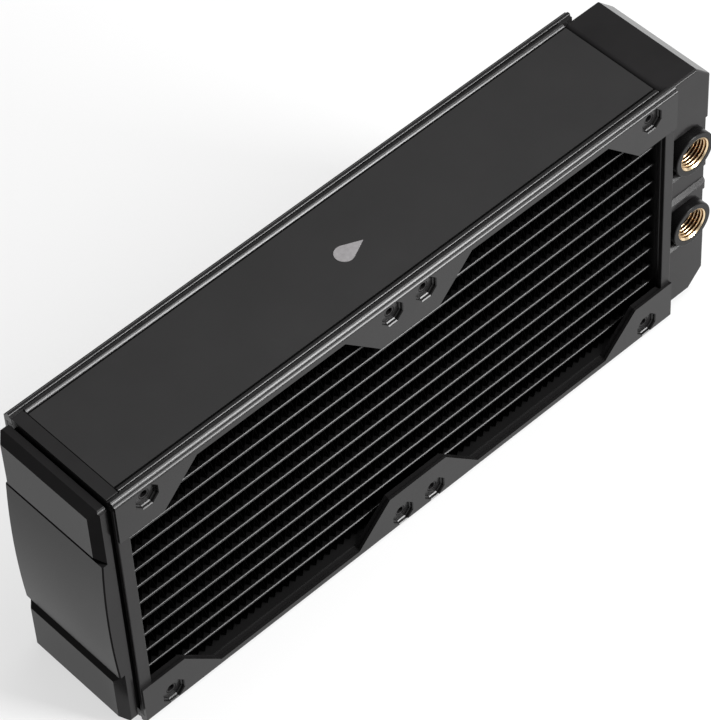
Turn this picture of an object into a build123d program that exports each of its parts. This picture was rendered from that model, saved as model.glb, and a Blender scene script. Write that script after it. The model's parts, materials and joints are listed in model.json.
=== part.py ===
from build123d import *

import math
import os

# Liquid cooling radiator for two 120 mm fans per face, standing on one long edge. Millimetres.
# +X points to the port end, -Y is the fan face on the side the ports open to, +Z is up.
# The origin is the middle of the bounding box's lower face.
# Front and back are alike, and so are top and bottom, apart from the openings of the port tank.

# Overall size.
LENGTH = 277.0
DEPTH = 54.0
HEIGHT = 118.0
MID_Z = HEIGHT / 2
LEFT_END = -LENGTH / 2
RIGHT_END = LENGTH / 2

# Fan pattern: two square patterns side by side, centred on the finned field.
FIELD_X = -6.3
FAN_WIDTH = 120.0
FAN_HOLE_SPACING = 105.0
HOLE_Z = MID_Z + FAN_HOLE_SPACING / 2

# Frame that carries the fans: sheet plates on grooved rails.
FRAME_LEFT = FIELD_X - 125.0
FRAME_RIGHT = FIELD_X + 125.0
PLATE_THICK = 1.1
PLATE_TOP = HEIGHT - 1.0
PLATE_STRIP = 3.0
PLATE_EDGE_ROUND = 1.0
TAB_LOW = HEIGHT - 19.0
TAB_SLOPE_RUN = 15.0
CORNER_TAB = 18.4
MIDDLE_TAB_HALF = 13.2
RAIL_FACE = DEPTH / 2 - PLATE_THICK
RAIL_DEEP = 4.7
RAIL_LOW = HEIGHT - 3.6
RAIL_ROUND = 1.15
GROOVE_FROM = 1.9
GROOVE_WIDE = 0.9
GROOVE_DEEP = 1.1
GROOVE_OUTER_ROUND = 0.25
GROOVE_INNER_ROUND = 0.3
LUG_THICK = 2.2
LUG_INSET = 0.5
LUG_TOP = RAIL_LOW + 1.0
POCKET_FLATS = 8.8
POCKET_INNER_FLATS = 7.9
POCKET_RIM = 0.3
POCKET_FLOOR = DEPTH / 2 - 1.75

# M3 bushings in the lugs.
BUSHING_R = 2.1
BUSHING_END = 21.3
M3_BORE_R = 1.25

# Frames that close both ends of the core.
FRAME_BAR = 1.8
LEFT_FRAME_WIDE = 4.8
RIGHT_FRAME_WIDE = 4.3
RIGHT_CROSS_FROM = 4.9
RIGHT_CROSS_WIDE = 1.1
CROSS_LAP = 0.4
FRAME_OPENING_HALF = 53.8
LEFT_BORDER_HALF = 23.05

# Panels above and below the core, and the plates they lie on.
PANEL_TOP = HEIGHT - 0.6
PANEL_HALF = 20.6
PANEL_LEFT = FIELD_X - 120.0
PANEL_RIGHT = FIELD_X + 119.5
CORE_LENGTH = 240.0
CORE_PLATE_THICK = 0.6
CORE_PLATE_HALF = 23.6

# Core: flat tubes and corrugated fins between two header plates.
TUBE_COUNT = 12
TUBE_PITCH = 8.7
TUBE_THICK = 1.1
TUBE_WIDE = 43.2
TUBE_WALL = 0.25
FIN_DEEP = 41.7
FIN_FOLD = 3.175
FIN_FOLD_COUNT = 75
FIN_THICK = 0.15
FIN_CLEAR = 0.03
HEADER_THICK = 1.4
TUBE_STAND_OUT = 0.4
SLOT_CLEAR = 0.02
LEFT_HEADER_X = FIELD_X - 124.0
LEFT_HEADER_HALF_Y = 24.0
LEFT_HEADER_HALF_Z = 53.7
RIGHT_HEADER_X = FIELD_X + 120.4
RIGHT_HEADER_HALF_Y = 21.95
RIGHT_HEADER_HALF_Z = 53.25

# Return tank and its end cover, left.
COVER_RIGHT = FRAME_LEFT - 1.2
COVER_END = FIELD_X - 131.95
COVER_HALF_Y = 24.0
COVER_HALF_Z = 56.45
COVER_CHAMFER = 3.0
COVER_TOP_ROUND = 1.5
BLOCK_FROM = 30.7
MIDDLE_HALF = 30.1
MIDDLE_CORNER_X = FIELD_X - 131.0
MIDDLE_CHAMFER = 0.45
GROOVE_FLOOR_X = FIELD_X - 128.9
RETURN_TANK_X = FIELD_X - 127.9
RETURN_TANK_HALF_Y = 22.6
RETURN_TANK_HALF_Z = 53.6
RETURN_TANK_WALL = 0.8

# Port tank, right.
TANK_LEFT = FIELD_X + 121.4
TANK_HALF_Y = 23.6
TANK_HALF_Z = 56.2
TANK_CORNER = 6.9
TANK_ROUND = 1.0
TANK_LEFT_ROUND = 2.0
TANK_INNER_HALF_Y = 22.0
TANK_INNER_HALF_Z = 53.3
TANK_INNER_CORNER = 4.7
TANK_END_WALL = 1.6
MOUTH_RIGHT = FIELD_X + 125.4
CHAMBER_FRONT = -17.0
RAIL_CLEAR = 0.1
RECESS_LEFT = FIELD_X + 127.0
RECESS_DEEP = 1.4
RECESS_SLANT = 1.4
PORT_RECESS_NEAR = 7.5
PORT_RECESS_FAR = 29.0
MIDDLE_RECESS_HALF = 4.6
WELL_RIGHT = FIELD_X + 139.0
WELL_DEEP = 4.95
WELL_CORNER = 2.4
DIVIDER_THICK = 1.2

# Ports: G1/4 parallel pipe thread in a brass insert inside a round boss.
PORT_X = 129.3
PORT_Z = 18.1
PORT_FACE = 26.3
BOSS_R = 9.05
BOSS_END = 14.5
BOSS_ROUND = 0.4
INSERT_R = 6.9
INSERT_RECESS = 0.15
INSERT_LENGTH = 12.0
THREAD_MINOR_R = 11.445 / 2
THREAD_MOUTH_R = 6.6
FIT_CLEAR = 0.02

# Emblem: a plain water drop on the upper panel.
DROP_X = FIELD_X - 4.1
DROP_Y = -0.9
DROP_R = 3.6
DROP_TIP = 8.4
DROP_THICK = 0.2

# Tolerance for finding edges by their place.
NEAR = 1e-3


def box(x0, x1, y0, y1, z0, z1):
    """Solid block between two corners."""
    return Pos((x0 + x1) / 2, (y0 + y1) / 2, (z0 + z1) / 2) * Box(x1 - x0, y1 - y0, z1 - z0)


def mid_box(x0, x1, half_y, half_z):
    """Solid block centred on the part's depth and height."""
    return box(x0, x1, -half_y, half_y, MID_Z - half_z, MID_Z + half_z)


def outline_xz(points, y0, y1):
    """Prism with an outline in the XZ plane, from y0 back to y1."""
    face = make_face(Polyline([Vector(x, y0, z) for x, z in points], close=True))
    return extrude(face, amount=y1 - y0, dir=(0, 1, 0))


def outline_yz(points, x0, x1):
    """Prism with an outline in the YZ plane, from x0 to x1."""
    face = make_face(Polyline([Vector(x0, y, z) for y, z in points], close=True))
    return extrude(face, amount=x1 - x0, dir=(1, 0, 0))


def rod_y(x, z, radius, y0, y1):
    """Round bar along Y."""
    return Pos(x, (y0 + y1) / 2, z) * Rot(90, 0, 0) * Cylinder(radius, y1 - y0)


def upside_down(shape):
    """The same piece on the other long edge."""
    return mirror(shape, about=Plane.XY.offset(MID_Z))


def to_back(shape):
    """The same piece on the other fan face."""
    return mirror(shape, about=Plane.XZ)


def edges_along_x(shape, y, z):
    """Edges along X at one place in the section."""
    along = shape.edges().filter_by(Axis.X)
    return [e for e in along if abs(e.center().Y - y) < NEAR and abs(e.center().Z - z) < NEAR]


def edges_in_face_x(shape, x):
    """Edges that lie wholly in the plane at x."""
    near = [e for e in shape.edges() if abs(e.center().X - x) < NEAR]
    return [e for e in near if e.bounding_box().size.X < NEAR]


def edges_in_face_y(shape, y):
    """Edges that lie wholly in the plane at y."""
    near = [e for e in shape.edges() if abs(e.center().Y - y) < NEAR]
    return [e for e in near if e.bounding_box().size.Y < NEAR]


def fan_hole_xs():
    """Hole positions along X of both fans."""
    centres = (FIELD_X - FAN_WIDTH / 2, FIELD_X + FAN_WIDTH / 2)
    return [c + side * FAN_HOLE_SPACING / 2 for c in centres for side in (-1, 1)]


def octagon_face(x, flats, y):
    """Octagon in the XZ plane at y, centred on a screw hole."""
    radius = flats / 2 / math.cos(math.pi / 8)
    angles = [math.pi / 8 + i * math.pi / 4 for i in range(8)]
    corners = [Vector(x + radius * math.cos(a), y, HOLE_Z + radius * math.sin(a)) for a in angles]
    return make_face(Polyline(corners, close=True))


def pocket(x, flats, mouth, end):
    """Octagonal pocket from its mouth back to y = end, with a chamfered rim."""
    well = extrude(octagon_face(x, flats, mouth), amount=end - mouth, dir=(0, 1, 0))
    rim = [octagon_face(x, flats + 2 * POCKET_RIM, mouth), octagon_face(x, flats, mouth + POCKET_RIM)]
    return well + loft([face.face() for face in rim])


def tab_outline(left, right, top, low, inset):
    """Strip with a tab at each end and a double tab in the middle, seen from the front."""
    strip_low = PLATE_TOP - PLATE_STRIP + inset
    corner = CORNER_TAB - inset
    middle = MIDDLE_TAB_HALF - inset
    half_left = [
        (FIELD_X - middle, low),
        (FIELD_X - middle - TAB_SLOPE_RUN, strip_low),
        (FRAME_LEFT + corner + TAB_SLOPE_RUN, strip_low),
        (FRAME_LEFT + corner, low),
        (left, low),
        (left, top),
    ]
    half_right = [
        (right, top),
        (right, low),
        (FRAME_RIGHT - corner, low),
        (FRAME_RIGHT - corner - TAB_SLOPE_RUN, strip_low),
        (FIELD_X + middle + TAB_SLOPE_RUN, strip_low),
        (FIELD_X + middle, low),
    ]
    return half_left + half_right


def front_top_plate():
    """Sheet plate over the rail, with eight-sided windows over the screw holes."""
    outline = tab_outline(FRAME_LEFT, FRAME_RIGHT, PLATE_TOP, TAB_LOW, 0)
    plate = outline_xz(outline, -DEPTH / 2, -RAIL_FACE)
    plate = fillet(edges_along_x(plate, -DEPTH / 2, PLATE_TOP), PLATE_EDGE_ROUND)
    for x in fan_hole_xs():
        plate -= pocket(x, POCKET_FLATS, -DEPTH / 2, 0)
    return plate


def front_top_rail():
    """Grooved bar along the long edge, with lugs behind the plate's tabs."""
    inner = -RAIL_FACE + RAIL_DEEP
    bar = box(FRAME_LEFT, FRAME_RIGHT, -RAIL_FACE, inner, RAIL_LOW, HEIGHT)
    for y in (-RAIL_FACE, inner):
        bar = fillet(edges_along_x(bar, y, HEIGHT), RAIL_ROUND)
    near = -RAIL_FACE + GROOVE_FROM
    far = near + GROOVE_WIDE
    bar -= box(FRAME_LEFT - 1, FRAME_RIGHT + 1, near, far, HEIGHT - GROOVE_DEEP, HEIGHT + 1)
    bar = fillet(edges_along_x(bar, near, HEIGHT), GROOVE_OUTER_ROUND)
    bar = fillet(edges_along_x(bar, far, HEIGHT), GROOVE_INNER_ROUND)
    for x0, x1 in ((FRAME_LEFT - 1, PANEL_LEFT), (PANEL_RIGHT, FRAME_RIGHT + 1)):
        bar -= box(x0, x1, far, inner + 1, RAIL_LOW - 1, HEIGHT + 1)
    left = FRAME_LEFT + LEFT_FRAME_WIDE
    right = FRAME_RIGHT - RIGHT_CROSS_FROM
    lugs = tab_outline(left, right, LUG_TOP, TAB_LOW + LUG_INSET, LUG_INSET)
    rail = bar + outline_xz(lugs, -RAIL_FACE, -RAIL_FACE + LUG_THICK)
    for x in fan_hole_xs():
        rail -= pocket(x, POCKET_INNER_FLATS, -RAIL_FACE, -POCKET_FLOOR)
        rail -= rod_y(x, HOLE_Z, BUSHING_R, -DEPTH, 0)
    return rail


def front_bushings():
    """The eight threaded bushings of the front face, as separate solids."""
    upper = []
    for x in fan_hole_xs():
        sleeve = rod_y(x, HOLE_Z, BUSHING_R, -POCKET_FLOOR, -BUSHING_END)
        upper.append(sleeve - rod_y(x, HOLE_Z, M3_BORE_R, -DEPTH, 0))
    return upper + [upside_down(piece) for piece in upper]


def top_panel():
    """Long panel above the core, set down a little between the rails."""
    return box(PANEL_LEFT, PANEL_RIGHT, -PANEL_HALF, PANEL_HALF, RAIL_LOW, PANEL_TOP)


def top_core_plate():
    """Thin plate that closes the fin stack."""
    half = CORE_LENGTH / 2
    low = RAIL_LOW - CORE_PLATE_THICK
    return box(FIELD_X - half, FIELD_X + half, -CORE_PLATE_HALF, CORE_PLATE_HALF, low, RAIL_LOW)


def left_end_frame():
    """Ring round the left end of the core, raised between the rails' grooves to the panels' level."""
    right = FRAME_LEFT + LEFT_FRAME_WIDE
    ring = mid_box(FRAME_LEFT, right, RAIL_FACE, RAIL_LOW - MID_Z)
    ring += mid_box(FRAME_LEFT, right, LEFT_BORDER_HALF, PANEL_TOP - MID_Z)
    return ring - mid_box(FRAME_LEFT - 1, right + 1, RAIL_FACE - FRAME_BAR, FRAME_OPENING_HALF)


def right_end_frame():
    """Two upright bars joined by thin cross bars on the side of the core."""
    frame_half = RAIL_LOW - MID_Z
    inner = RAIL_FACE - FRAME_BAR
    uprights = mid_box(FRAME_RIGHT - RIGHT_FRAME_WIDE, FRAME_RIGHT, RAIL_FACE, frame_half)
    uprights -= mid_box(FRAME_LEFT, FRAME_RIGHT + 1, inner, HEIGHT)
    cross_left = FRAME_RIGHT - RIGHT_CROSS_FROM
    cross_right = cross_left + RIGHT_CROSS_WIDE
    crosses = mid_box(cross_left, cross_right, inner + CROSS_LAP, frame_half)
    crosses -= mid_box(cross_left - 1, cross_right + 1, HEIGHT, FRAME_OPENING_HALF)
    return uprights + crosses


def flat_bar(half_wide, half_thick, x0, x1, z):
    """Flat bar along X with round edges."""
    reach = half_wide - half_thick
    bar = box(x0, x1, -reach, reach, z - half_thick, z + half_thick)
    for y in (-reach, reach):
        bar += Pos((x0 + x1) / 2, y, z) * Rot(0, 90, 0) * Cylinder(half_thick, x1 - x0)
    return bar


def tube_zs():
    """Heights of the tubes, evenly spaced about the middle."""
    return [MID_Z + (i - (TUBE_COUNT - 1) / 2) * TUBE_PITCH for i in range(TUBE_COUNT)]


def flat_tube(z):
    """Hollow flat tube that stands out of both header plates into the tanks."""
    x0 = LEFT_HEADER_X - TUBE_STAND_OUT
    x1 = RIGHT_HEADER_X + HEADER_THICK + TUBE_STAND_OUT
    half_wide = TUBE_WIDE / 2
    half_thick = TUBE_THICK / 2
    outer = flat_bar(half_wide, half_thick, x0, x1, z)
    return outer - flat_bar(half_wide - TUBE_WALL, half_thick - TUBE_WALL, x0 - 1, x1 + 1, z)


def fin_strip(low, high):
    """Corrugated strip that fills one gap, folded along X."""
    z0 = low + FIN_CLEAR
    z1 = high - FIN_CLEAR
    upright = FIN_THICK * math.hypot(1, (z1 - z0) / (FIN_FOLD / 2))
    start = FIELD_X - FIN_FOLD_COUNT * FIN_FOLD / 2
    lower = []
    for i in range(2 * FIN_FOLD_COUNT + 1):
        lower.append((start + i * FIN_FOLD / 2, z0 if i % 2 == 0 else z1 - upright))
    upper = [(x, z + upright) for x, z in reversed(lower)]
    return outline_xz(lower + upper, -FIN_DEEP / 2, FIN_DEEP / 2)


def fin_gaps():
    """Lower and upper limit of every gap in the core, from the bottom up."""
    half = TUBE_THICK / 2
    lows = [HEIGHT - RAIL_LOW + CORE_PLATE_THICK] + [z + half for z in tube_zs()]
    highs = [z - half for z in tube_zs()] + [RAIL_LOW - CORE_PLATE_THICK]
    return list(zip(lows, highs))


def header_plate(x0, half_y, half_z):
    """Brass plate with one slot for each tube."""
    x1 = x0 + HEADER_THICK
    plate = mid_box(x0, x1, half_y, half_z)
    half_wide = TUBE_WIDE / 2 + SLOT_CLEAR
    half_thick = TUBE_THICK / 2 + SLOT_CLEAR
    for z in tube_zs():
        plate -= flat_bar(half_wide, half_thick, x0 - 1, x1 + 1, z)
    return plate


def return_tank():
    """Brass tray that turns the water round at the left end, open to the header."""
    tray = mid_box(RETURN_TANK_X, LEFT_HEADER_X, RETURN_TANK_HALF_Y, RETURN_TANK_HALF_Z)
    inner_y = RETURN_TANK_HALF_Y - RETURN_TANK_WALL
    inner_z = RETURN_TANK_HALF_Z - RETURN_TANK_WALL
    return tray - mid_box(RETURN_TANK_X + RETURN_TANK_WALL, LEFT_HEADER_X + 1, inner_y, inner_z)


def cover_block():
    """Upper end block of the left cover, chamfered all round its end face."""
    low = MID_Z + BLOCK_FROM
    high = MID_Z + COVER_HALF_Z
    block = box(COVER_END, COVER_RIGHT, -COVER_HALF_Y, COVER_HALF_Y, low, high)
    return chamfer(edges_in_face_x(block, COVER_END), COVER_CHAMFER)


def cover_middle():
    """Middle of the left cover, whose end face is a shallow arc over the height."""
    y = -COVER_HALF_Y
    low = MID_Z - MIDDLE_HALF
    high = MID_Z + MIDDLE_HALF
    lower = (MIDDLE_CORNER_X, y, low)
    upper = (MIDDLE_CORNER_X, y, high)
    bulge = ThreePointArc(lower, (LEFT_END, y, MID_Z), upper)
    back = Polyline(upper, (COVER_RIGHT, y, high), (COVER_RIGHT, y, low), lower)
    middle = extrude(make_face([bulge, back]), amount=2 * COVER_HALF_Y, dir=(0, 1, 0))
    return chamfer(middle.edges().filter_by(GeomType.CIRCLE), MIDDLE_CHAMFER)


def left_end_cover():
    """Moulded cover over the return tank: a bulged middle between two blocks."""
    block = cover_block()
    floor = mid_box(GROOVE_FLOOR_X, COVER_RIGHT, COVER_HALF_Y, BLOCK_FROM + 1)
    cover = block + upside_down(block) + cover_middle() + floor
    corners = []
    for y in (-COVER_HALF_Y, COVER_HALF_Y):
        for z in (MID_Z - COVER_HALF_Z, MID_Z + COVER_HALF_Z):
            corners += edges_along_x(cover, y, z)
    cover = fillet(corners, COVER_TOP_ROUND)
    return cover - mid_box(RETURN_TANK_X, COVER_RIGHT + 1, RETURN_TANK_HALF_Y, RETURN_TANK_HALF_Z)


def cut_corner_outline(x0, x1, half_z, cut):
    """Rectangle with its two right corners cut off at 45 degrees, seen from the front."""
    return [
        (x0, MID_Z - half_z),
        (x1 - cut, MID_Z - half_z),
        (x1, MID_Z - half_z + cut),
        (x1, MID_Z + half_z - cut),
        (x1 - cut, MID_Z + half_z),
        (x0, MID_Z + half_z),
    ]


def tank_body():
    """Outside of the port tank, let in between the rails."""
    outline = cut_corner_outline(TANK_LEFT, RIGHT_END, TANK_HALF_Z, TANK_CORNER)
    body = outline_xz(outline, -TANK_HALF_Y, TANK_HALF_Y)
    left = [e for e in body.edges().filter_by(Axis.Y) if abs(e.center().X - TANK_LEFT) < NEAR]
    body = fillet(left, TANK_LEFT_ROUND)
    body = fillet(edges_in_face_y(body, -TANK_HALF_Y) + edges_in_face_y(body, TANK_HALF_Y), TANK_ROUND)
    notch_y = RAIL_FACE - GROOVE_FROM - GROOVE_WIDE - RAIL_CLEAR
    notch_z = RAIL_LOW - RAIL_CLEAR
    notch = box(TANK_LEFT - 1, FRAME_RIGHT + RAIL_CLEAR, notch_y, DEPTH, notch_z, HEIGHT)
    for cut in (notch, to_back(notch)):
        body -= cut
        body -= upside_down(cut)
    return body


def tank_chamber():
    """Water space of the port tank: a wide mouth over the header, then the main chamber."""
    mouth = mid_box(TANK_LEFT - 1, MOUTH_RIGHT, TANK_INNER_HALF_Y, TANK_INNER_HALF_Z)
    end = RIGHT_END - TANK_END_WALL
    outline = cut_corner_outline(TANK_LEFT - 1, end, TANK_INNER_HALF_Z, TANK_INNER_CORNER)
    return mouth + outline_xz(outline, CHAMBER_FRONT, TANK_INNER_HALF_Y)


def recess(low, high):
    """Recess in the tank's front, open at the end; its lower wall slopes."""
    front = -TANK_HALF_Y
    lean = RECESS_SLANT / RECESS_DEEP
    section = [
        (front - 1, low - lean),
        (front + RECESS_DEEP, low + RECESS_SLANT),
        (front + RECESS_DEEP, high),
        (front - 1, high),
    ]
    return outline_yz(section, RECESS_LEFT, RIGHT_END + 1)


def port_well(low, high):
    """Deeper part of a port recess, with cut corners on its left."""
    outline = [
        (RECESS_LEFT + WELL_CORNER, low),
        (WELL_RIGHT, low),
        (WELL_RIGHT, high),
        (RECESS_LEFT + WELL_CORNER, high),
        (RECESS_LEFT, high - WELL_CORNER),
        (RECESS_LEFT, low + WELL_CORNER),
    ]
    return outline_xz(outline, -TANK_HALF_Y, -TANK_HALF_Y + WELL_DEEP)


def port_tank():
    """Thick-walled tank that both ports open into, open to the header."""
    tank = tank_body() - tank_chamber()
    tank -= recess(MID_Z - MIDDLE_RECESS_HALF, MID_Z + MIDDLE_RECESS_HALF)
    for low in (MID_Z + PORT_RECESS_NEAR, MID_Z - PORT_RECESS_FAR):
        high = low + PORT_RECESS_FAR - PORT_RECESS_NEAR
        tank -= recess(low, high)
        tank -= port_well(low + RECESS_SLANT, high)
    for z in (MID_Z + PORT_Z, MID_Z - PORT_Z):
        tank -= rod_y(PORT_X, z, BOSS_R + FIT_CLEAR, -DEPTH, -BOSS_END)
    return tank


def port_divider():
    """Wall across the port tank that keeps inlet and outlet water apart."""
    low = MID_Z - DIVIDER_THICK / 2
    high = MID_Z + DIVIDER_THICK / 2
    inner = TANK_INNER_HALF_Y
    left = RIGHT_HEADER_X + HEADER_THICK
    mouth = box(left, MOUTH_RIGHT, -inner, inner, low, high)
    return mouth + box(left, RIGHT_END - TANK_END_WALL, CHAMBER_FRONT, inner, low, high)


def port_boss(z):
    """Round boss that carries a port through the tank's front wall."""
    boss = rod_y(PORT_X, z, BOSS_R, -PORT_FACE, -BOSS_END)
    boss = fillet(edges_in_face_y(boss, -PORT_FACE), BOSS_ROUND)
    return boss - rod_y(PORT_X, z, INSERT_R, -DEPTH, 0)


def port_insert(z):
    """Brass insert with the port's bore and a countersunk mouth."""
    face = -PORT_FACE + INSERT_RECESS
    sleeve = rod_y(PORT_X, z, INSERT_R, face, face + INSERT_LENGTH)
    sleeve -= rod_y(PORT_X, z, THREAD_MINOR_R, -DEPTH, 0)
    sink = THREAD_MOUTH_R - THREAD_MINOR_R
    mouth = Cone(THREAD_MINOR_R, THREAD_MOUTH_R, sink)
    return sleeve - Pos(PORT_X, face + sink / 2, z) * Rot(90, 0, 0) * mouth


def drop_emblem():
    """Plain water drop on the upper panel, pointing right."""
    reach = math.acos(DROP_R / DROP_TIP)
    touch_x = DROP_R * math.cos(reach)
    touch_y = DROP_R * math.sin(reach)
    back = (touch_x, touch_y)
    front = (touch_x, -touch_y)
    bowl = ThreePointArc(back, (-DROP_R, 0), front)
    point = Polyline(front, (DROP_TIP, 0), back)
    return Pos(DROP_X, DROP_Y, PANEL_TOP) * extrude(make_face([bowl, point]), amount=DROP_THICK)


def write(name, shape):
    """Writes one piece, or a group of separate identical pieces, to its own file."""
    solids = Compound(children=shape) if isinstance(shape, list) else shape
    solids.label = name
    export_step(solids, os.path.join("parts", name + ".step"))
    print(name)


def write_fan_frame():
    """The four plates and rails, and the bushings in the rails' lugs."""
    for kind, piece in (("plate", front_top_plate()), ("rail", front_top_rail())):
        write(f"front_top_{kind}", piece)
        write(f"front_bottom_{kind}", upside_down(piece))
        write(f"back_top_{kind}", to_back(piece))
        write(f"back_bottom_{kind}", to_back(upside_down(piece)))
    bushings = front_bushings()
    write("front_bushings", bushings)
    write("back_bushings", [to_back(piece) for piece in bushings])


def write_core():
    """Tubes, fins, header plates and what closes them in."""
    for number, z in enumerate(tube_zs(), start=1):
        write(f"flat_tube_{number:02d}", flat_tube(z))
    for number, (low, high) in enumerate(fin_gaps(), start=1):
        write(f"fin_strip_{number:02d}", fin_strip(low, high))
    left = header_plate(LEFT_HEADER_X, LEFT_HEADER_HALF_Y, LEFT_HEADER_HALF_Z)
    right = header_plate(RIGHT_HEADER_X, RIGHT_HEADER_HALF_Y, RIGHT_HEADER_HALF_Z)
    write("left_header_plate", left)
    write("right_header_plate", right)
    write("top_core_plate", top_core_plate())
    write("bottom_core_plate", upside_down(top_core_plate()))
    write("top_panel", top_panel())
    write("bottom_panel", upside_down(top_panel()))
    write("left_end_frame", left_end_frame())
    write("right_end_frame", right_end_frame())


def write_ends():
    """Tanks, cover and ports."""
    write("return_tank", return_tank())
    write("left_end_cover", left_end_cover())
    write("port_tank", port_tank())
    write("port_divider", port_divider())
    for name, z in (("upper", MID_Z + PORT_Z), ("lower", MID_Z - PORT_Z)):
        write(f"{name}_port_boss", port_boss(z))
        write(f"{name}_port_insert", port_insert(z))


def main():
    os.makedirs("parts", exist_ok=True)
    write_fan_frame()
    write_core()
    write_ends()
    write("drop_emblem", drop_emblem())


main()
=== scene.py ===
import json
import math

import bmesh
import bpy
from mathutils import Matrix, Vector


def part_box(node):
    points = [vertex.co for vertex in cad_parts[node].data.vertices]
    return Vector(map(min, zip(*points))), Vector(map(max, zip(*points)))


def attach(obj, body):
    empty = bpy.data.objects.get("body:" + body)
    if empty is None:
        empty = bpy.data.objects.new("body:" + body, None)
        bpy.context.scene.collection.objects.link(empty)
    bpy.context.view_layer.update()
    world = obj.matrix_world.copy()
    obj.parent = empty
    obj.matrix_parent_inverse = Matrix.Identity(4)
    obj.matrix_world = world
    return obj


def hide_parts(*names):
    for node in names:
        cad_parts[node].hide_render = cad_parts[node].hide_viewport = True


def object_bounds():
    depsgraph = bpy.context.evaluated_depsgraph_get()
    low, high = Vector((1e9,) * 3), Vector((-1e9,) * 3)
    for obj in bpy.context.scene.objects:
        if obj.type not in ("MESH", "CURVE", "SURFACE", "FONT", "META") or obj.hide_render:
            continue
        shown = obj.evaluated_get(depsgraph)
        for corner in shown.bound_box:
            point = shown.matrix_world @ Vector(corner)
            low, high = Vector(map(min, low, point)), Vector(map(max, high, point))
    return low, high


# Liquid cooling radiator on one long edge: coats for its CAD nodes, the threads of its two ports,
# and the table, lamps and camera.

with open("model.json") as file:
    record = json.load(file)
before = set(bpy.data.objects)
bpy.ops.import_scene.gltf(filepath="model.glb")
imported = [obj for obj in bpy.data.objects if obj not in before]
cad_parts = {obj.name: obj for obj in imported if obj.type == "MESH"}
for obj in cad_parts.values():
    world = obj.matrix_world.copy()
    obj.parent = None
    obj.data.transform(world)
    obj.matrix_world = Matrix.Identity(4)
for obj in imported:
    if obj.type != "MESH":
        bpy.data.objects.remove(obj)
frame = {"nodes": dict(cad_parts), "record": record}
cad_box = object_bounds()
low_corner, high_corner = cad_box
middle = (low_corner + high_corner) / 2

MM = 0.001

# Studio: strengths of the sky and of the lit table, and the lamps' powers in watts.
SKY = 0.25
FLOOR_GLOW = 0.64
KEY_POWER = 60.0
TOP_POWER = 30.0

# Lamps: place from the part's middle, and width and height, in metres.
KEY_PLACE = (0.66, -1.23, 0.79)
KEY_SIZE = (0.45, 1.6)
TOP_PLACE = (0.50, -0.12, 1.90)
TOP_SIZE = (1.4, 1.15)

# Table, in metres: how far it reaches each way.
FLOOR_HALF = 6.0

# Black card on the table, in metres: gaps that it leaves to the part's left side and front as
# seen from above, its width and depth, and its height above the table.
FLAG_LEFT = 0.0065
FLAG_FRONT = 0.003
FLAG_SIZE = (0.195, 0.22)
FLAG_LIFT = 0.0005

# Camera: lens and sensor in millimetres, and place from the part's middle in metres. In degrees:
# how far it turns from +Y towards +X, how far it looks down, and how far it leans to the left.
LENS = 183.34
SENSOR = 36.0
CAMERA_PLACE = (-0.52002, -0.60591, 0.94735)
CAMERA_TURN = 40.204
CAMERA_DIP = 50.002
CAMERA_LEAN = -3.819

# Greys: how much red is added to them and green taken away.
TINT = 0.02

# Powder coat: scale and contrast of its cloudiness, and how far its roughness strays each way.
CLOUD_SCALE = 45.0
CLOUD_SHADE = 0.14
SMOOTHER = 0.05
ROUGHER = 0.07

# Softened edges: width of each bevel and reach of the weld before it, in millimetres, and the
# angle in degrees from which an edge is bevelled.
FRAME_EDGE = 0.25
PANEL_EDGE = 0.12
BUSHING_EDGE = 0.3
WELD_REACH = 0.001
BEVEL_FROM = 35

# G1/4 thread of the ports, 19 turns to the inch: pitch, radii of its crest and of its root, and
# the share of a turn that each of the two is flat for.
PITCH = 25.4 / 19 * MM
THREAD_MINOR = 11.445 / 2 * MM
THREAD_MAJOR = 13.157 / 2 * MM
THREAD_FLAT = 0.12

# Sleeve round the thread: least wall, how far inside its outer edge the countersink starts, and
# the chamfer of that edge.
SLEEVE_WALL = 0.25 * MM
MOUTH_INSET = 0.3 * MM
OUTER_CHAMFER = 0.2 * MM

# Sleeve's mesh: corners to a ring, rows along the thread, and the angle in degrees from which an
# edge stays sharp.
STEPS = 96
ROWS = 150
SHARP_FROM = 38

# Mesh attribute of the sleeve that carries painted shade: 1 on the thread's crests and the bright
# mouth, 0 in the root, which it paints dark.
PAINTED_SHADING = "painted_shading"


# ---------------------------------------------------------------- materials


def new_material(name):
    """A new material, with its node tree and its Principled shader."""
    material = bpy.data.materials.new(name)
    material.use_nodes = True
    tree = material.node_tree
    shader = tree.nodes["Principled BSDF"]
    return material, tree, shader


def noise(tree, scale, detail=3.0):
    """Noise of a given number of cells to the metre, in object space."""
    place = tree.nodes.new("ShaderNodeTexCoord")
    texture = tree.nodes.new("ShaderNodeTexNoise")
    texture.inputs["Scale"].default_value = scale
    texture.inputs["Detail"].default_value = detail
    texture.inputs["Roughness"].default_value = 0.55
    tree.links.new(place.outputs["Object"], texture.inputs["Vector"])
    return texture.outputs["Fac"]


def ramp(tree, source, stops):
    """Colour ramp from (position, colour) stops."""
    node = tree.nodes.new("ShaderNodeValToRGB")
    elements = node.color_ramp.elements
    elements[0].position, elements[0].color = stops[0][0], (*stops[0][1], 1.0)
    elements[1].position, elements[1].color = stops[-1][0], (*stops[-1][1], 1.0)
    for position, colour in stops[1:-1]:
        elements.new(position).color = (*colour, 1.0)
    tree.links.new(source, node.inputs["Fac"])
    return node.outputs["Color"]


def span(tree, source, low, high):
    """Maps 0..1 to low..high."""
    node = tree.nodes.new("ShaderNodeMapRange")
    node.inputs["To Min"].default_value = low
    node.inputs["To Max"].default_value = high
    tree.links.new(source, node.inputs["Value"])
    return node.outputs["Result"]


def grey(value):
    """A nearly neutral colour with a trace of warm tint."""
    return (value * (1 + TINT), value * (1 - TINT), value)


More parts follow.
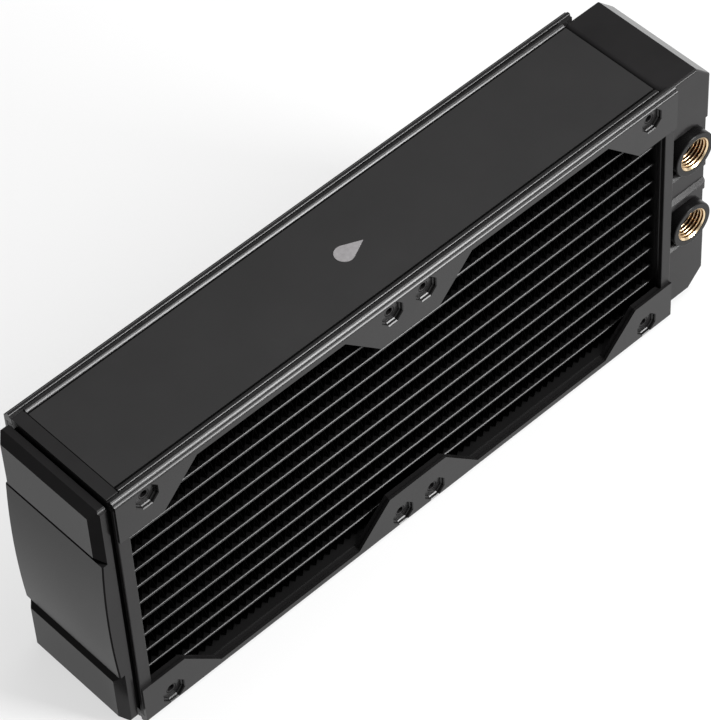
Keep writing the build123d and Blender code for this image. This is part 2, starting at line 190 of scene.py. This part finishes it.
def mottle(tree, shader, scale, low, high, detail=3.0):
    """Base colour that drifts between two shades."""
    shades = ramp(tree, noise(tree, scale, detail), [(0.3, low), (0.7, high)])
    tree.links.new(shades, shader.inputs["Base Color"])


def vary_gloss(tree, shader, source, low, high):
    """Roughness that drifts between two values."""
    tree.links.new(span(tree, source, low, high), shader.inputs["Roughness"])


def bump(tree, shader, source, depth_mm, strength):
    """Relief of a given depth in the shader's normal."""
    node = tree.nodes.new("ShaderNodeBump")
    node.inputs["Strength"].default_value = strength
    node.inputs["Distance"].default_value = depth_mm * MM
    tree.links.new(source, node.inputs["Height"])
    tree.links.new(node.outputs["Normal"], shader.inputs["Normal"])


def black_coat(name, value, rough, specular, grain_mm=0.28, relief_mm=0.012, strength=0.35):
    """Satin black powder coat: fine orange peel, faint cloudiness and an uneven gloss."""
    material, tree, shader = new_material(name)
    low, high = grey(value * (1 - CLOUD_SHADE)), grey(value * (1 + CLOUD_SHADE))
    mottle(tree, shader, CLOUD_SCALE, low, high, 4.0)
    fine = noise(tree, 1.0 / (grain_mm * MM), 2.0)
    vary_gloss(tree, shader, fine, rough - SMOOTHER, rough + ROUGHER)
    shader.inputs["Specular IOR Level"].default_value = specular
    bump(tree, shader, fine, relief_mm, strength)
    return material


def brass():
    """Turned brass: pale and warm on the crests and the mouth, darkened by painted shade in the
    thread's root.
    """
    material, tree, shader = new_material("turned_brass")
    painted_shading = tree.nodes.new("ShaderNodeAttribute")
    painted_shading.attribute_name = PAINTED_SHADING
    # Painted shade: dark brass in the thread's root, full brass on the crests and the mouth.
    root_shade_colour, dull, bright = (0.06, 0.025, 0.008), (0.33, 0.17, 0.06), (0.87, 0.69, 0.45)
    shades = ramp(tree, painted_shading.outputs["Fac"], [(0.0, root_shade_colour), (0.55, dull), (1.0, bright)])
    tree.links.new(shades, shader.inputs["Base Color"])
    shader.inputs["Metallic"].default_value = 1.0
    vary_gloss(tree, shader, noise(tree, 900.0), 0.24, 0.32)
    return material


def dark_steel():
    """Black-oxide steel of the screw bushings."""
    material, tree, shader = new_material("dark_steel")
    mottle(tree, shader, 500.0, grey(0.02), grey(0.035))
    shader.inputs["Metallic"].default_value = 0.8
    vary_gloss(tree, shader, noise(tree, 1500.0), 0.28, 0.42)
    return material


def emblem_grey():
    """Satin grey of the drop emblem."""
    material, tree, shader = new_material("emblem_grey")
    mottle(tree, shader, 700.0, grey(0.15), grey(0.19))
    vary_gloss(tree, shader, noise(tree, 1800.0), 0.42, 0.55)
    return material


coat = {
    "plate_paint": black_coat("plate_coat", 0.007, 0.19, specular=0.27, grain_mm=0.2, relief_mm=0.004),
    "rail_paint": black_coat(
        "rail_coat", 0.008, 0.24, specular=0.36, grain_mm=0.15, relief_mm=0.0015, strength=0.2
    ),
    "panel_paint": black_coat("panel_coat", 0.007, 0.42, specular=0.36, grain_mm=0.35, relief_mm=0.02),
    "frame_paint": black_coat("frame_coat", 0.009, 0.34, specular=0.18),
    "core_paint": black_coat("core_coat", 0.003, 0.50, specular=0.15),
    "fin_paint": black_coat("fin_coat", 0.0004, 0.65, specular=0.01),
    "tube_paint": black_coat("tube_coat", 0.004, 0.22, specular=0.22, relief_mm=0.003),
    "cover_paint": black_coat("cover_coat", 0.009, 0.18, specular=0.12, relief_mm=0.005),
    "tank_paint": black_coat("tank_coat", 0.010, 0.16, specular=0.16, relief_mm=0.005),
    "boss_paint": black_coat("boss_coat", 0.005, 0.26, specular=0.15, relief_mm=0.006),
    "insert_brass": brass(),
    "bushing_steel": dark_steel(),
    "emblem_metal": emblem_grey(),
}

slot_of = {row["node"]: row["material_slot"] for row in frame["record"]["subparts"]}


def coat_nodes():
    """Gives every CAD node the material of its slot."""
    for node, obj in frame["nodes"].items():
        material = coat[slot_of[node]]
        if not obj.material_slots:
            obj.data.materials.append(material)
        for slot in obj.material_slots:
            slot.material = material


def soften(nodes, width_mm):
    """Joins the corners of CAD nodes and bevels their edges, so that these catch the light."""
    for node in nodes:
        weld = frame["nodes"][node].modifiers.new("weld", "WELD")
        weld.merge_threshold = WELD_REACH * MM
        bevel = frame["nodes"][node].modifiers.new("edge", "BEVEL")
        bevel.width = width_mm * MM
        bevel.segments = 2
        bevel.limit_method = "ANGLE"
        bevel.angle_limit = math.radians(BEVEL_FROM)
        bevel.harden_normals = False


# ---------------------------------------------------------------- ports


def thread_radius(turn):
    """Radius of the thread after a number of turns: flat crest, flat root, straight flanks."""
    phase = turn % 1.0
    flank = 0.5 - THREAD_FLAT
    if phase < THREAD_FLAT:
        return THREAD_MINOR
    if phase < 0.5:
        return THREAD_MINOR + (THREAD_MAJOR - THREAD_MINOR) * (phase - THREAD_FLAT) / flank
    if phase < 0.5 + THREAD_FLAT:
        return THREAD_MAJOR
    return THREAD_MAJOR - (THREAD_MAJOR - THREAD_MINOR) * (phase - 0.5 - THREAD_FLAT) / flank


def thread_profile(depth, outer):
    """Radius and painted brightness of each corner of the ring at a depth behind the mouth; the
    brightness is painted shade, lowest in the thread's root.
    """
    profile = []
    for step in range(STEPS):
        thread = thread_radius(depth / PITCH + step / STEPS)
        radius = min(max(thread, outer - MOUTH_INSET - depth), outer - SLEEVE_WALL)
        # Painted shade: the brightness falls from the crest to the root of the thread.
        root = (thread - THREAD_MINOR) / (THREAD_MAJOR - THREAD_MINOR)
        profile.append((radius, 1.0 if radius > thread else 1.0 - root))
    return profile


def ring(mesh, painted_shading, centre, y, profile):
    """Corners of a ring round a port's axis, from the radius and painted brightness of each."""
    corners = []
    for step, (radius, bright) in enumerate(profile):
        angle = 2 * math.pi * step / STEPS
        x = centre.x + radius * math.cos(angle)
        z = centre.z + radius * math.sin(angle)
        vertex = mesh.verts.new((x, y, z))
        vertex[painted_shading] = (bright, bright, bright, 1.0)
        corners.append(vertex)
    return corners


def threaded_insert(name, node):
    """Brass sleeve with a helical G1/4 thread cut inside, and a countersunk mouth."""
    low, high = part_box(node)
    centre = (low + high) / 2
    outer = (high.x - low.x) / 2
    length = high.y - low.y
    mesh = bmesh.new()
    # Colour layer that carries the painted shade of the thread's root.
    painted_shading = mesh.verts.layers.float_color.new(PAINTED_SHADING)
    rings = []
    for row in range(ROWS + 1):
        depth = length * row / ROWS
        rings.append(ring(mesh, painted_shading, centre, low.y + depth, thread_profile(depth, outer)))
    for radius, depth in ((outer, length), (outer, OUTER_CHAMFER), (outer - OUTER_CHAMFER, 0.0)):
        rings.append(ring(mesh, painted_shading, centre, low.y + depth, [(radius, 1.0)] * STEPS))
    for first, second in zip(rings, rings[1:] + rings[:1]):
        for step in range(STEPS):
            after = (step + 1) % STEPS
            mesh.faces.new((first[step], first[after], second[after], second[step]))
    bmesh.ops.recalc_face_normals(mesh, faces=mesh.faces)
    data = bpy.data.meshes.new(name)
    mesh.to_mesh(data)
    mesh.free()
    data.shade_smooth()
    data.set_sharp_from_angle(angle=math.radians(SHARP_FROM))
    piece = bpy.data.objects.new(name, data)
    bpy.context.collection.objects.link(piece)
    data.materials.append(coat["insert_brass"])
    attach(piece, "root")
    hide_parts(node)


# ---------------------------------------------------------------- stage


def stage_rectangle(name, x_limits, y_limits, height, material):
    """Level rectangle with one material, for the table or a card on it."""
    (x0, x1), (y0, y1) = x_limits, y_limits
    corners = [(x0, y0, height), (x1, y0, height), (x1, y1, height), (x0, y1, height)]
    data = bpy.data.meshes.new(name)
    data.from_pydata(corners, [], [(0, 1, 2, 3)])
    data.materials.append(material)
    obj = bpy.data.objects.new(name, data)
    bpy.context.collection.objects.link(obj)
    return obj


def floor():
    """Plain table top, far larger than the view: a mid grey that its own glow makes pale."""
    material, tree, shader = new_material("floor_white")
    mottle(tree, shader, 2.0, (0.21, 0.21, 0.21), (0.23, 0.23, 0.23))
    shader.inputs["Roughness"].default_value = 0.9
    shader.inputs["Specular IOR Level"].default_value = 0.1
    shader.inputs["Emission Color"].default_value = (1.0, 1.0, 1.0, 1.0)
    shader.inputs["Emission Strength"].default_value = FLOOR_GLOW
    limits = (-FLOOR_HALF, FLOOR_HALF)
    stage_rectangle("floor", limits, limits, low_corner.z, material)


def softbox(name, place, size, power):
    """Rectangular area light aimed at the part's middle."""
    lamp = bpy.data.lights.new(name, "AREA")
    lamp.shape = "RECTANGLE"
    lamp.size, lamp.size_y = size
    lamp.energy = power
    obj = bpy.data.objects.new(name, lamp)
    bpy.context.collection.objects.link(obj)
    obj.location = middle + Vector(place)
    obj.rotation_mode = "QUATERNION"
    obj.rotation_quaternion = (-Vector(place)).to_track_quat("-Z", "Y")


def studio():
    """Soft light: dim surroundings, a tall key for the front and a top softbox."""
    world = bpy.data.worlds.new("studio")
    bpy.context.scene.world = world
    world.use_nodes = True
    sky = world.node_tree.nodes["Background"]
    sky.inputs["Color"].default_value = (1.0, 1.0, 1.0, 1.0)
    sky.inputs["Strength"].default_value = SKY
    softbox("key", KEY_PLACE, KEY_SIZE, KEY_POWER)
    softbox("top", TOP_PLACE, TOP_SIZE, TOP_POWER)


def flag():
    """Black card by the cover's front corner, seen in reflections only."""
    material, tree, shader = new_material("flag_black")
    mottle(tree, shader, 8.0, grey(0.004), grey(0.008))
    shader.inputs["Specular IOR Level"].default_value = 0.0
    right = low_corner.x - FLAG_LEFT
    back = low_corner.y - FLAG_FRONT
    width, depth = FLAG_SIZE
    height = low_corner.z + FLAG_LIFT
    obj = stage_rectangle("flag", (right - width, right), (back - depth, back), height, material)
    obj.visible_camera = False
    obj.visible_diffuse = False
    obj.visible_shadow = False


def camera():
    """Camera at the viewing angle from above and to the left of the fan face."""
    data = bpy.data.cameras.new("camera")
    data.sensor_width = SENSOR
    data.lens = LENS
    obj = bpy.data.objects.new("camera", data)
    bpy.context.collection.objects.link(obj)
    turn = Matrix.Rotation(math.radians(-CAMERA_TURN), 4, "Z")
    dip = Matrix.Rotation(math.radians(90 - CAMERA_DIP), 4, "X")
    lean = Matrix.Rotation(math.radians(CAMERA_LEAN), 4, "Z")
    place = Matrix.Translation(middle + Vector(CAMERA_PLACE))
    obj.matrix_world = place @ turn @ dip @ lean
    bpy.context.scene.camera = obj


# ---------------------------------------------------------------- scene

coat_nodes()
soften(["left_end_frame", "right_end_frame"], FRAME_EDGE)
soften(["top_panel", "bottom_panel"], PANEL_EDGE)
soften(["front_bushings", "back_bushings"], BUSHING_EDGE)
threaded_insert("upper_port_thread", "upper_port_insert")
threaded_insert("lower_port_thread", "lower_port_insert")
floor()
flag()
studio()
camera()
bpy.context.scene.view_settings.view_transform = "Standard"
